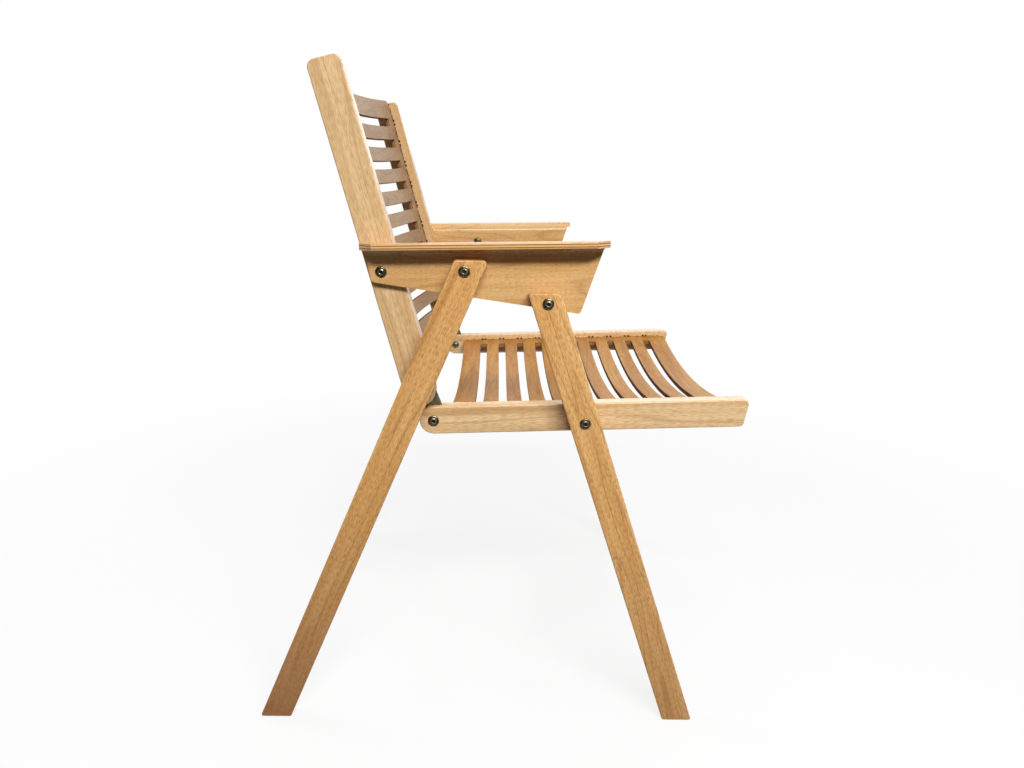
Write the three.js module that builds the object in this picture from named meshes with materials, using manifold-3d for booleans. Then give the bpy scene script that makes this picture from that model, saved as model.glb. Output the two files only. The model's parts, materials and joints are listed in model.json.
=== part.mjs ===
// Folding armchair in solid beech and moulded beech plywood.
// Millimetres. +X is the way the chair faces, +Z is up, and Y is across, with the sitter's right at -Y.
// The origin is on the floor under the middle of the chair.
// Every piece is drawn on the right side and mirrored for the left.
import * as THREE from "three";
import { mergeVertices } from "three/addons/utils/BufferGeometryUtils.js";
import Module from "manifold-3d";

const wasm = await Module();
wasm.setup();

// Sizes across the chair, from the legs' outer faces inwards
const widthOverLegs = 579.6;
const legThickness = 20;
const washerThickness = 1.4;
const armPly = 8;
const frameThickness = 22;
const runningGap = 0.4;
const fitGap = 0.3;
const cutOverrun = 5;

const legOuter = widthOverLegs / 2;
const legInner = legOuter - legThickness;
const flangeOuter = legInner - washerThickness;
const flangeInner = flangeOuter - armPly;
const frameOuter = flangeInner - runningGap;
const frameInner = frameOuter - frameThickness;
const frameMiddle = (frameOuter + frameInner) / 2;

// Angles, in degrees, and the seat rail's rear bolt, which the rest is built up from
const seatSlopeDegrees = 2.4;
const backLeanDegrees = 15.5;
const frontLegLeanDegrees = 18.97;
const rearLegLeanDegrees = 22.75;
const armSlopeDegrees = 1.8;
const rearBoltHeight = 417.1;
const degrees = THREE.MathUtils.degToRad;

// Pivots along the seat rail, measured from the rear bolt: along the rail, then above its middle
const seatPivotRun = 190.8;
const seatPivotRise = 0.55;
const hingeRun = -12.14;
const hingeRise = 36.46;
// Pivots on the other frames
const legPivotSpacing = 156.63;
const hingeAheadOfPost = 2.85;
const armPivotBehindPost = 3.2;
const rearPivotRun = 101.47;
const rearPivotRise = 1.86;

// Seat rails and back posts
const railHeight = 36;
const railTopLength = 405.3;
const railNoseSlant = 7.8;
const railNoseRadius = 6.5;
const postWidth = 40.4;
const postTopAboveHinge = 410.2;
const postTopRadius = 9;
const postEndAboveHinge = 3.84;
const edgeRadius = 1.8;

// Legs
const rearLegWidth = 38;
const frontLegWidth = 38;
const rearLegAheadOfPivot = 2.5;
const frontLegBehindPivot = 0.5;
const rearLegTopRise = 13;
const frontLegTopRise = 12.2;
const rearLegTopRadii = [4.5, 5];
const frontLegTopRadii = [3, 8.5];
const footRadius = 2.5;
const stretcherDiameter = 24;
const stretcherTenonDiameter = 16;
const stretcherTenonDepth = 14;
const rearStretcherBelowPivot = 310;
const frontStretcherBelowPivot = 400;

// Armrests
const armInnerBend = 8;
const armBoardOverhang = 6;
const armBoardAbovePivot = 27;
const armRearOverhang = 22.8;
const armFrontOverhang = 74.5;
const armCornerChamfer = 17;
const flangeBelowArmPivot = 13.8;
const flangeBelowFrontPivot = 9.2;
const flangeFrontAhead = 40.3;
const flangeFrontTopAhead = 69;
const flangeRearBehind = 12;
const flangeRearTopBehind = 18;
const flangeRearRadius = 6;
const flangeFrontRadius = 4;

// Slotted plywood panels
const panelPly = 7;
const tenonDepth = 7;
const slotCount = 10;
const mortiseOverrun = 3.4;
const slotCornerRadius = 2;
const slotCornerSteps = 1;
const arcSteps = 12;
const seatPanelBehindNose = 8.3;
const backPanelAboveHinge = 20.3;
const seatPanel = {
  sagitta: 28,
  slotWidth: 12.3,
  rim: 31.15,
  endRim: 30.6,
  rise: 8,
  start: 17,
  endStrip: 18,
  shoulders: [8, 8],
  corners: [0, 0],
};
const backPanel = {
  sagitta: 32.1,
  slotWidth: 13.4,
  rim: 31.3,
  endRim: 23.05,
  rise: 5,
  start: -4.1,
  endStrip: 15,
  shoulders: [15, 6],
  corners: [8, 0],
};
seatPanel.length = railTopLength - seatPanel.start - seatPanelBehindNose;
backPanel.length = postTopAboveHinge - backPanel.start - backPanelAboveHinge;

// Metal fittings
const boltRadius = 3;
const boltHeadRadius = 7;
const boltHeadHeight = 3;
const boltHeadEdge = 1.2;
const hexSocketAcross = 4.6;
const hexSocketDepth = 1.6;
const blindHoleDepth = 13;
const armBoltProud = 0.6;
const sleeveNutHeadRadius = 7;
const sleeveNutHeadHeight = 2.4;
const sleeveNutBarrelRadius = 4.4;
const sleeveNutBore = 3;
const washerRadius = 9;
const spacerRadius = 9;
const capNutRadius = 6.5;
const capNutHeight = 5;
const roundSteps = 12;

// Hinge plates and pins
const plateThickness = 3;
const plateHalfWidth = 16;
const plateFootRear = -13;
const plateFootFront = 44;
const plateFootBelowBolt = 12;
const plateFootAboveBolt = 17;
const plateSlotAboveHinge = 24;
const hingePinRadius = 4;
const hingePinHeadRadius = 7;
const hingePinHeadHeight = 2.5;
const pinGrooveDepth = 8;
const pinGrooveSteps = 12;
const seatPivotPlay = 3.1;

// Materials
const legBeech = { color: 0xcd9b5f, roughness: 0.5, metalness: 0 };
const frameBeech = { color: 0xe1be8c, roughness: 0.5, metalness: 0 };
const panelBeech = { color: 0xc8a582, roughness: 0.5, metalness: 0 };
const armBeech = { color: 0xd8ae78, roughness: 0.45, metalness: 0 };
const darkBrass = { color: 0x5a4a32, roughness: 0.35, metalness: 1 };
const steel = { color: 0x6b6a58, roughness: 0.45, metalness: 1 };

const X = new THREE.Vector3(1, 0, 0);
const Y = new THREE.Vector3(0, 1, 0);
const Z = new THREE.Vector3(0, 0, 1);

// Plane geometry in side view, where a point is (forward, up)
const point = (x, z) => new THREE.Vector2(x, z);
const turned = (p, angle) => p.clone().rotateAround(point(0, 0), angle);

// Where a point of a turned frame lies in side view. The lean tips the frame's up axis backwards.
function placed(origin, lean, p) {
  return turned(p, degrees(lean)).add(origin);
}

// The same, the other way round
function inFrame(origin, lean, p) {
  return turned(p.clone().sub(origin), -degrees(lean));
}

// Pivots at rest, from the seat rail outwards
const rearBolt = point(0, rearBoltHeight);
const seatPivotOnRail = point(seatPivotRun, seatPivotRise);
const seatPivot = placed(rearBolt, seatSlopeDegrees, seatPivotOnRail);
const hinge = placed(rearBolt, seatSlopeDegrees, point(hingeRun, hingeRise));
const frontPivot = placed(seatPivot, frontLegLeanDegrees, point(0, legPivotSpacing));

// Folded flat, the rail and the front leg lie along the post. The arm's length between its two pivots
// is the same at rest and folded, which sets how far up the post the arm's pivot is.
const foldedFrontPivot = point(hingeRise - seatPivotRise, seatPivotRun - hingeRun + legPivotSpacing);

function armPivotHeight() {
  const across = -hingeAheadOfPost - armPivotBehindPost;
  const atRest = inFrame(hinge, backLeanDegrees, frontPivot);
  const folded = foldedFrontPivot;
  const step = folded.clone().sub(atRest);
  const equalReach = (folded.lengthSq() - atRest.lengthSq()) / 2;
  return point(across, (equalReach - across * step.x) / step.y);
}

const armPivotOnPost = armPivotHeight();
const armPivot = placed(hinge, backLeanDegrees, armPivotOnPost);
const rearPivot = placed(armPivot, armSlopeDegrees, point(rearPivotRun, rearPivotRise));
const frontPivotOnArm = inFrame(armPivot, armSlopeDegrees, frontPivot);

// Solids and booleans
function solid(geometry) {
  const bare = geometry.clone();
  bare.deleteAttribute("normal");
  bare.deleteAttribute("uv");
  const merged = mergeVertices(bare);
  return new wasm.Manifold(
    new wasm.Mesh({
      numProp: 3,
      vertProperties: new Float32Array(merged.attributes.position.array),
      triVerts: new Uint32Array(merged.index.array),
    }),
  );
}

function geometryOf(body) {
  const mesh = body.getMesh();
  const positions = new Float32Array(mesh.numVert * 3);
  for (let i = 0; i < mesh.numVert; i++) {
    positions.set(mesh.vertProperties.subarray(i * mesh.numProp, i * mesh.numProp + 3), i * 3);
  }
  const geometry = new THREE.BufferGeometry();
  geometry.setAttribute("position", new THREE.BufferAttribute(positions, 3));
  geometry.setIndex(new THREE.BufferAttribute(mesh.triVerts, 1));
  geometry.computeVertexNormals();
  return geometry;
}

function cut(geometry, ...tools) {
  return geometryOf(tools.reduce((body, tool) => body.subtract(solid(tool)), solid(geometry)));
}

function common(geometry, ...others) {
  return geometryOf(others.reduce((body, other) => body.intersect(solid(other)), solid(geometry)));
}

// Adds one rounded corner to a shape, after a straight run from where the shape has got to
function addCorner(shape, [beforeX, beforeZ], [x, z, radius], [afterX, afterZ]) {
  const corner = point(x, z);
  const before = point(beforeX, beforeZ).sub(corner);
  const after = point(afterX, afterZ).sub(corner);
  const half = Math.acos(before.clone().normalize().dot(after.clone().normalize())) / 2;
  const room = Math.min(before.length(), after.length()) / 2;
  const used = Math.min(radius, room * Math.tan(half));
  if (used === 0) {
    shape.lineTo(x, z);
    return;
  }
  const trim = used / Math.tan(half);
  const turnsLeft = before.cross(after) < 0;
  const entry = before.clone().setLength(trim).add(corner);
  const exit = after.clone().setLength(trim).add(corner);
  const inwards = before.normalize().add(after.normalize());
  const middle = inwards.setLength(used / Math.sin(half)).add(corner);
  const startAngle = entry.sub(middle).angle();
  const endAngle = exit.sub(middle).angle();
  shape.absarc(middle.x, middle.y, used, startAngle, endAngle, !turnsLeft);
}

// A closed shape from a list of corners, each [forward, up, radius]
function roundedShape(corners) {
  const shape = new THREE.Shape();
  shape.moveTo(corners[0][0], corners[0][1]);
  corners.forEach((corner, i) => {
    addCorner(shape, corners.at(i - 1), corner, corners[(i + 1) % corners.length]);
  });
  shape.closePath();
  return shape;
}

// A side-view shape made a board on the right side, between two distances from the middle of the chair
function board(shape, outer, inner, { round = 0, steps = 2 } = {}) {
  const geometry = new THREE.ExtrudeGeometry(shape, {
    depth: outer - inner - 2 * round,
    curveSegments: steps,
    bevelEnabled: round > 0,
    bevelThickness: round,
    bevelSize: round,
    bevelOffset: -round,
    bevelSegments: 2,
  });
  const seat = new THREE.Matrix4().makeBasis(X, Z, Y.clone().negate());
  seat.setPosition(0, -inner - round, 0);
  return geometry.applyMatrix4(seat);
}

// A round bar across the chair on the right side, between two distances from the middle
function bar(centre, radius, outer, inner, steps = roundSteps) {
  const geometry = new THREE.CylinderGeometry(radius, radius, outer - inner, steps);
  return geometry.translate(centre.x, -(outer + inner) / 2, centre.y);
}

// A turned piece across the chair on the right side. Its profile is [radius, distance from the middle].
function turnedPiece(centre, profile, steps = roundSteps) {
  const points = profile.map(([radius, distance]) => new THREE.Vector2(radius, -distance));
  return new THREE.LatheGeometry(points, steps).translate(centre.x, 0, centre.y);
}

function mirrored(geometry) {
  const flipped = geometry.index ? geometry.clone() : mergeVertices(geometry);
  flipped.scale(1, -1, 1);
  const order = flipped.index.array;
  for (let i = 0; i < order.length; i += 3) [order[i + 1], order[i + 2]] = [order[i + 2], order[i + 1]];
  flipped.computeVertexNormals();
  return flipped;
}

function addPiece(group, name, geometry, look) {
  const mesh = new THREE.Mesh(geometry, new THREE.MeshStandardMaterial(look));
  mesh.name = name;
  group.add(mesh);
  return mesh;
}

function addPair(group, name, geometry, look) {
  addPiece(group, name + "_right", geometry, look);
  addPiece(group, name + "_left", mirrored(geometry), look);
}

// A frame whose up axis tips backwards by an angle in degrees
function leaningGroup(origin, lean) {
  const group = new THREE.Group();
  group.position.set(origin.x, 0, origin.y);
  group.rotation.y = -degrees(lean);
  return group;
}

// Plywood panels. Drawn flat-on: X runs along the panel, Z is up out of the face that is sat on.
const shoulder = frameInner - fitGap;

// Heights of the panel's upper and lower faces. Beyond the shoulders the tenons run level.
function faceHeights(panel, across) {
  const radius = (shoulder ** 2 + panel.sagitta ** 2) / (2 * panel.sagitta);
  const y = THREE.MathUtils.clamp(across, -shoulder, shoulder);
  const centreHeight = radius - panel.sagitta;
  const upper = centreHeight - Math.sqrt(radius ** 2 - y ** 2);
  const lower = centreHeight - Math.sqrt((radius + panelPly) ** 2 - y ** 2);
  return { upper, lower };
}

function panelSection(panel) {
  const inside = Array.from({ length: arcSteps + 1 }, (_, i) => shoulder * ((2 * i) / arcSteps - 1));
  const reach = shoulder + tenonDepth;
  const across = [-reach, ...inside, reach];
  const below = across.map((y) => point(y, faceHeights(panel, y).lower));
  const above = across.map((y) => point(y, faceHeights(panel, y).upper));
  return new THREE.Shape([...below, ...above.reverse()]);
}

function slotStart(panel, i) {
  const pitch = (panel.length - panel.rim - panel.endRim - panel.slotWidth) / (slotCount - 1);
  return panel.rim + i * pitch;
}

// The stretch of each slat that has a tenon, as [start, end] along the panel
function tenonSpans(panel) {
  return Array.from({ length: slotCount + 1 }, (_, i) => {
    const start = i === 0 ? panel.shoulders[0] : slotStart(panel, i - 1) + panel.slotWidth;
    const end = i === slotCount ? panel.length - panel.shoulders[1] : slotStart(panel, i);
    return [start, end];
  });
}

// The panel seen flat-on: its outline with tenons, and its slots as holes
function panelPlan(panel) {
  const reach = shoulder + tenonDepth;
  const rightEdge = tenonSpans(panel).flatMap(([start, end]) => [
    [start, shoulder, 0],
    [start, reach, 0],
    [end, reach, 0],
    [end, shoulder, 0],
  ]);
  const leftEdge = rightEdge.map(([x, y, radius]) => [x, -y, radius]).reverse();
  const plan = roundedShape([
    [0, -shoulder, panel.corners[0]],
    [0, shoulder, panel.corners[0]],
    ...rightEdge,
    [panel.length, shoulder, panel.corners[1]],
    [panel.length, -shoulder, panel.corners[1]],
    ...leftEdge,
  ]);
  const slotEnd = shoulder - panel.endStrip;
  for (let i = 0; i < slotCount; i++) {
    const x = slotStart(panel, i);
    const slot = roundedShape([
      [x, -slotEnd, slotCornerRadius],
      [x + panel.slotWidth, -slotEnd, slotCornerRadius],
      [x + panel.slotWidth, slotEnd, slotCornerRadius],
      [x, slotEnd, slotCornerRadius],
    ]);
    plan.holes.push(slot);
  }
  return plan;
}

function slottedPanel(panel) {
  const tall = 2 * (panel.sagitta + panelPly + cutOverrun);
  const plan = new THREE.ExtrudeGeometry(panelPlan(panel), {
    depth: tall,
    curveSegments: slotCornerSteps,
    bevelEnabled: false,
  });
  const section = new THREE.ExtrudeGeometry(panelSection(panel), {
    depth: panel.length + 2 * cutOverrun,
    bevelEnabled: false,
  });
  const along = new THREE.Matrix4().makeBasis(Y, Z, X).setPosition(-cutOverrun, 0, 0);
  return common(section.applyMatrix4(along), plan.translate(0, 0, -tall / 2));
}

// Round-ended mortises for the right-hand tenons, in the panel's own frame
function mortises(panel) {
  const { upper, lower } = faceHeights(panel, shoulder);
  const top = upper + fitGap;
  const bottom = lower - fitGap;
  const endRadius = (top - bottom) / 2;
  return tenonSpans(panel).map(([start, end]) => {
    const outline = new THREE.Shape();
    const startCentre = start - mortiseOverrun + endRadius;
    const endCentre = end + mortiseOverrun - endRadius;
    outline.absarc(startCentre, bottom + endRadius, endRadius, Math.PI / 2, 1.5 * Math.PI, false);
    outline.absarc(endCentre, bottom + endRadius, endRadius, -Math.PI / 2, Math.PI / 2, false);
    outline.closePath();
    return board(outline, shoulder + tenonDepth + fitGap, shoulder - cutOverrun);
  });
}

// Where each panel sits in its own body's frame
const seatPanelPlace = new THREE.Matrix4().makeTranslation(seatPanel.start, 0, seatPanel.rise);
const backPanelPlace = new THREE.Matrix4()
  .makeTranslation(backPanel.rise - hingeAheadOfPost, 0, postTopAboveHinge - backPanel.start)
  .multiply(new THREE.Matrix4().makeRotationY(Math.PI / 2));

// Metal pieces
function hexSocket(centre, faceDistance) {
  const radius = hexSocketAcross / Math.sqrt(3);
  const hex = bar(centre, radius, faceDistance + cutOverrun, faceDistance - hexSocketDepth, 6);
  return hex;
}

// A domed bolt from its head's underside to its end, both as distances from the middle
function bolt(centre, underHead, end) {
  const top = underHead + boltHeadHeight;
  const profile = [
    [0, top],
    [boltHeadRadius * 0.55, top],
    [boltHeadRadius * 0.9, top - (boltHeadHeight - boltHeadEdge) / 2],
    [boltHeadRadius, underHead + boltHeadEdge],
    [boltHeadRadius, underHead],
    [boltRadius, underHead],
    [boltRadius, end],
    [0, end],
  ];
  return cut(turnedPiece(centre, profile), hexSocket(centre, top));
}

// A sleeve nut, with its domed head sunk flush into the inner face of the arm's flange
function sleeveNut(centre) {
  const bore = boltRadius + fitGap;
  const shoulderFace = flangeInner + sleeveNutHeadHeight;
  const blind = flangeInner + sleeveNutBore;
  const top = flangeOuter - fitGap;
  return turnedPiece(centre, [
    [bore, top],
    [sleeveNutBarrelRadius, top],
    [sleeveNutBarrelRadius, shoulderFace],
    [sleeveNutHeadRadius, shoulderFace],
    [sleeveNutHeadRadius, shoulderFace - sleeveNutHeadHeight * 0.4],
    [sleeveNutHeadRadius * 0.8, shoulderFace - sleeveNutHeadHeight * 0.75],
    [sleeveNutHeadRadius * 0.4, shoulderFace - sleeveNutHeadHeight * 0.95],
    [0, flangeInner],
    [0, blind],
    [bore, blind],
    [bore, top],
  ]);
}

function ring(centre, radius, outer, inner) {
  const bore = boltRadius + fitGap;
  return turnedPiece(centre, [
    [bore, outer],
    [radius, outer],
    [radius, inner],
    [bore, inner],
    [bore, outer],
  ]);
}

const boltHole = (centre, outer, inner) => bar(centre, boltRadius + fitGap, outer, inner);
const blindHole = (centre, radius) =>
  bar(centre, radius, frameOuter + cutOverrun, frameOuter - blindHoleDepth);

// Seat: rails, panel, hinge plates and their fixings. Frame: the rear bolt, X along the rail.
const seat = leaningGroup(rearBolt, seatSlopeDegrees);
const hingeOnRail = point(hingeRun, hingeRise);
const railMiddle = point(0, 0);
const plateSlotHalf = plateThickness / 2 + fitGap;
const railRadius = railHeight / 2;

function railOutline() {
  const rearTop = [0, railRadius];
  const rearBottom = [0, -railRadius];
  const noseBottom = [railTopLength - railNoseSlant, -railRadius, railNoseRadius];
  const noseTop = [railTopLength, railRadius, railNoseRadius];
  const shape = new THREE.Shape();
  shape.absarc(0, 0, railRadius, Math.PI / 2, (3 * Math.PI) / 2, false);
  addCorner(shape, rearBottom, noseBottom, noseTop);
  addCorner(shape, noseBottom, noseTop, rearTop);
  shape.closePath();
  return shape;
}

function seatRail() {
  const rail = board(railOutline(), frameOuter, frameInner, { round: edgeRadius, steps: 5 });
  const slotRear = -railRadius - cutOverrun;
  const slotFront = plateFootFront + fitGap;
  const slotBottom = -plateFootBelowBolt - fitGap;
  const slotTop = railRadius + cutOverrun;
  const plateSlot = new THREE.BoxGeometry(
    slotFront - slotRear,
    2 * plateSlotHalf,
    slotTop - slotBottom,
  ).translate((slotFront + slotRear) / 2, -frameMiddle, (slotTop + slotBottom) / 2);
  return cut(
    rail,
    plateSlot,
    boltHole(railMiddle, frameOuter + cutOverrun, frameInner - cutOverrun),
    blindHole(seatPivotOnRail, boltRadius + seatPivotPlay),
    ...mortises(seatPanel).map((tool) => tool.applyMatrix4(seatPanelPlace)),
  );
}

// The plate's outline: a round-ended strip from the hinge down into the rail, and a foot along the slot
function plateOutline() {
  const side = hingeOnRail.angle() - Math.PI / 2;
  const edgeAt = (across, height) => (across - height * Math.sin(side)) / Math.cos(side);
  const shape = new THREE.Shape();
  shape.absarc(hingeOnRail.x, hingeOnRail.y, plateHalfWidth, side, side + Math.PI, false);
  shape.lineTo(edgeAt(-plateHalfWidth, 0), 0);
  shape.lineTo(plateFootRear, -plateFootBelowBolt);
  shape.lineTo(plateFootFront, -plateFootBelowBolt);
  shape.lineTo(plateFootFront, plateFootAboveBolt);
  shape.lineTo(edgeAt(plateHalfWidth, plateFootAboveBolt), plateFootAboveBolt);
  return shape;
}

function hingePlate() {
  const outer = frameMiddle + plateThickness / 2;
  const inner = frameMiddle - plateThickness / 2;
  return cut(
    board(plateOutline(), outer, inner, { steps: 6 }),
    boltHole(railMiddle, outer + cutOverrun, inner - cutOverrun),
    bar(hingeOnRail, hingePinRadius + fitGap, outer + cutOverrun, inner - cutOverrun),
  );
}

function capNut() {
  const bore = boltRadius + fitGap;
  const face = frameInner - fitGap;
  const blind = face - capNutHeight / 2;
  const top = face - capNutHeight;
  return turnedPiece(railMiddle, [
    [bore, face],
    [capNutRadius, face],
    [capNutRadius, face - capNutHeight * 0.2],
    [capNutRadius * 0.85, top + capNutHeight * 0.4],
    [capNutRadius * 0.5, top + capNutHeight * 0.1],
    [0, top],
    [0, blind],
    [bore, blind],
    [bore, face],
  ]);
}

addPair(seat, "seat_rail", seatRail(), frameBeech);
addPair(seat, "hinge_plate", hingePlate(), steel);
const plateBoltEnd = frameInner - capNutHeight * 0.4;
addPair(seat, "plate_bolt", bolt(railMiddle, frameOuter + fitGap, plateBoltEnd), darkBrass);
addPair(seat, "plate_cap_nut", capNut(), darkBrass);
addPiece(seat, "seat_panel", slottedPanel(seatPanel).applyMatrix4(seatPanelPlace), panelBeech);

// Back: posts, panel, arm bolts and hinge pins. Frame: the hinge, Z up along the post.
const back = leaningGroup(hinge, backLeanDegrees);
const hingeOnPost = point(0, 0);

function postOutline() {
  const half = postWidth / 2;
  const front = half - hingeAheadOfPost;
  const rear = -half - hingeAheadOfPost;
  const topFront = [front, postTopAboveHinge, postTopRadius];
  const topRear = [rear, postTopAboveHinge, postTopRadius];
  const shape = new THREE.Shape();
  shape.absarc(-hingeAheadOfPost, postEndAboveHinge, half, Math.PI, 2 * Math.PI, false);
  addCorner(shape, [front, postEndAboveHinge], topFront, topRear);
  addCorner(shape, topFront, topRear, [rear, postEndAboveHinge]);
  shape.closePath();
  return shape;
}

function backPost() {
  const post = board(postOutline(), frameOuter, frameInner, { round: edgeRadius, steps: 5 });
  const slotBottom = postEndAboveHinge - postWidth;
  const plateSlot = new THREE.BoxGeometry(
    2 * postWidth,
    2 * plateSlotHalf,
    plateSlotAboveHinge - slotBottom,
  ).translate(0, -frameMiddle, (plateSlotAboveHinge + slotBottom) / 2);
  return cut(
    post,
    plateSlot,
    blindHole(armPivotOnPost, boltRadius + fitGap),
    bar(hingeOnPost, hingePinRadius + fitGap, frameOuter + cutOverrun, frameInner - cutOverrun),
    ...mortises(backPanel).map((tool) => tool.applyMatrix4(backPanelPlace)),
  );
}

const armBoltRecess = boltHeadHeight + fitGap - armBoltProud;

// One piece: a pin with a domed head on the post's inner face and its outer end in the rear leg's groove
function hingePin() {
  const under = frameInner - fitGap;
  const end = under - hingePinHeadHeight;
  const tip = legInner + pinGrooveDepth - fitGap;
  return turnedPiece(hingeOnPost, [
    [0, tip],
    [hingePinRadius, tip],
    [hingePinRadius, under],
    [hingePinHeadRadius, under],
    [hingePinHeadRadius, under - hingePinHeadHeight * 0.4],
    [hingePinHeadRadius * 0.8, under - hingePinHeadHeight * 0.75],
    [hingePinHeadRadius * 0.4, under - hingePinHeadHeight * 0.95],
    [0, end],
  ]);
}

addPair(back, "back_post", backPost(), frameBeech);
addPair(
  back,
  "arm_bolt",
  bolt(armPivotOnPost, flangeOuter - armBoltRecess + fitGap, frameOuter - blindHoleDepth + fitGap),
  darkBrass,
);
addPair(back, "hinge_pin", hingePin(), darkBrass);
addPiece(back, "back_panel", slottedPanel(backPanel).applyMatrix4(backPanelPlace), panelBeech);

// Arms: L-shaped armrests with the bolts that the legs turn on. Frame: the arm's pivot, X along the board.
const arms = leaningGroup(armPivot, armSlopeDegrees);
const armPivotHere = point(0, 0);
const rearPivotHere = point(rearPivotRun, rearPivotRise);

function armSection() {
  const under = armBoardAbovePivot;
  const top = under + armPly;
  const low = frontPivotOnArm.y - flangeBelowFrontPivot - cutOverrun - flangeFrontRadius;
  const outerEdge = legOuter + armBoardOverhang;
  return roundedShape([
    [-flangeInner, low, 0],
    [-flangeInner, top, armInnerBend + armPly],
    [-outerEdge, top, edgeRadius],
    [-outerEdge, under, edgeRadius],
    [-flangeOuter, under, armInnerBend],
    [-flangeOuter, low, 0],
  ]);
}

function armSideOutline() {
  const top = armBoardAbovePivot + armPly + cutOverrun;
  const under = armBoardAbovePivot;
  const front = frontPivotOnArm.x + armFrontOverhang;
  const frontFlange = frontPivotOnArm.x + flangeFrontAhead;
  const frontFlangeTop = frontPivotOnArm.x + flangeFrontTopAhead;
  const frontLow = frontPivotOnArm.y - flangeBelowFrontPivot;
  const slope = (frontLow + flangeBelowArmPivot) / frontPivotOnArm.x;
  return roundedShape([
    [-armRearOverhang, top, 0],
    [-armRearOverhang, under, 0],
    [-flangeRearTopBehind, under, 0],
    [-flangeRearBehind, -flangeBelowArmPivot - slope * flangeRearBehind, flangeRearRadius],
    [frontFlange, frontLow + slope * flangeFrontAhead, flangeFrontRadius],
    [frontFlangeTop, under, 0],
    [front, under, 0],
    [front, top, 0],
  ]);
}

function armPlanOutline() {
  const rear = -armRearOverhang;
  const front = frontPivotOnArm.x + armFrontOverhang;
  const inner = -flangeInner + cutOverrun;
  const outer = -legOuter - armBoardOverhang;
  return roundedShape([
    [rear, inner, 0],
    [rear, outer + armCornerChamfer, edgeRadius],
    [rear + armCornerChamfer, outer, edgeRadius],
    [front - armCornerChamfer, outer, edgeRadius],
    [front, outer + armCornerChamfer, edgeRadius],
    [front, inner, 0],
  ]);
}

function armrest() {
  const length = armRearOverhang + frontPivotOnArm.x + armFrontOverhang;
  const section = new THREE.ExtrudeGeometry(armSection(), {
    depth: length + 2 * cutOverrun,
    curveSegments: 3,
    bevelEnabled: false,
  });
  const along = new THREE.Matrix4().makeBasis(Y, Z, X).setPosition(-armRearOverhang - cutOverrun, 0, 0);
  const tall = armBoardAbovePivot + armPly + cutOverrun - frontPivotOnArm.y + 2 * railHeight;
  const plan = new THREE.ExtrudeGeometry(armPlanOutline(), {
    depth: tall,
    curveSegments: 1,
    bevelEnabled: false,
  });
  plan.translate(0, 0, armBoardAbovePivot + armPly + cutOverrun - tall);
  const side = board(armSideOutline(), legOuter + armBoardOverhang + cutOverrun, flangeInner - cutOverrun, {
    steps: 2,
  });
  const blank = common(section.applyMatrix4(along), plan, side);
  const outward = legInner;
  const nutHead = flangeInner + sleeveNutHeadHeight + fitGap;
  const sleeveNutHole = (centre) => [
    bar(centre, sleeveNutBarrelRadius + fitGap, outward, flangeInner - cutOverrun),
    bar(centre, sleeveNutHeadRadius + fitGap, nutHead, flangeInner - cutOverrun),
  ];
  return cut(
    blank,
    bar(armPivotHere, boltHeadRadius + fitGap, outward, flangeOuter - armBoltRecess),
    boltHole(armPivotHere, outward, flangeInner - cutOverrun),
    ...sleeveNutHole(rearPivotHere),
    ...sleeveNutHole(frontPivotOnArm),
  );
}

addPair(arms, "armrest", armrest(), armBeech);
for (const [name, centre] of [
  ["rear_leg", rearPivotHere],
  ["front_leg", frontPivotOnArm],
]) {
  const end = flangeInner + sleeveNutBore + fitGap;
  addPair(arms, name + "_bolt", bolt(centre, legOuter + fitGap, end), darkBrass);
  addPair(arms, name + "_sleeve_nut", sleeveNut(centre), darkBrass);
  addPair(arms, name + "_washer", ring(centre, washerRadius, legInner - fitGap, flangeOuter + fitGap), steel);
}

// Legs. Frame: the upper pivot, Z up along the leg.
function legOutline(lean, { width, ahead, pivotHeight, topRise, topRadii }) {
  const tilt = degrees(lean);
  const front = ahead + width / 2;
  const rear = ahead - width / 2;
  const level = (height, x) => (height - x * Math.sin(tilt)) / Math.cos(tilt);
  return roundedShape([
    [rear, level(-pivotHeight, rear), footRadius],
    [front, level(-pivotHeight, front), footRadius],
    [front, level(topRise, front), topRadii[1]],
    [rear, level(topRise, rear), topRadii[0]],
  ]);
}

function stretcher(centre) {
  const end = legInner + stretcherTenonDepth - fitGap;
  const face = legInner - fitGap;
  return turnedPiece(centre, [
    [0, end],
    [stretcherTenonDiameter / 2, end],
    [stretcherTenonDiameter / 2, face],
    [stretcherDiameter / 2, face],
    [stretcherDiameter / 2, -face],
    [stretcherTenonDiameter / 2, -face],
    [stretcherTenonDiameter / 2, -end],
    [0, -end],
  ]);
}

const stretcherSocket = (centre) =>
  bar(centre, stretcherTenonDiameter / 2 + fitGap, legInner + stretcherTenonDepth, legInner - cutOverrun);

const frontLegs = leaningGroup(frontPivot, frontLegLeanDegrees);
const legPivotHere = point(0, 0);
const seatPivotOnLeg = point(0, -legPivotSpacing);
const frontStretcherOnLeg = point(0, -frontStretcherBelowPivot);
const frontLegShape = legOutline(frontLegLeanDegrees, {
  width: frontLegWidth,
  ahead: -frontLegBehindPivot,
  pivotHeight: frontPivot.y,
  topRise: frontLegTopRise,
  topRadii: frontLegTopRadii,
});
const frontLeg = cut(
  board(frontLegShape, legOuter, legInner, { round: edgeRadius }),
  boltHole(legPivotHere, legOuter + cutOverrun, legInner - cutOverrun),
  boltHole(seatPivotOnLeg, legOuter + cutOverrun, legInner - cutOverrun),
  stretcherSocket(frontStretcherOnLeg),
);
addPair(frontLegs, "front_leg", frontLeg, legBeech);
addPiece(frontLegs, "front_stretcher", stretcher(frontStretcherOnLeg), legBeech);
addPair(
  frontLegs,
  "seat_pivot_bolt",
  bolt(seatPivotOnLeg, legOuter + fitGap, frameOuter - blindHoleDepth + 2 * fitGap),
  darkBrass,
);
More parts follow.
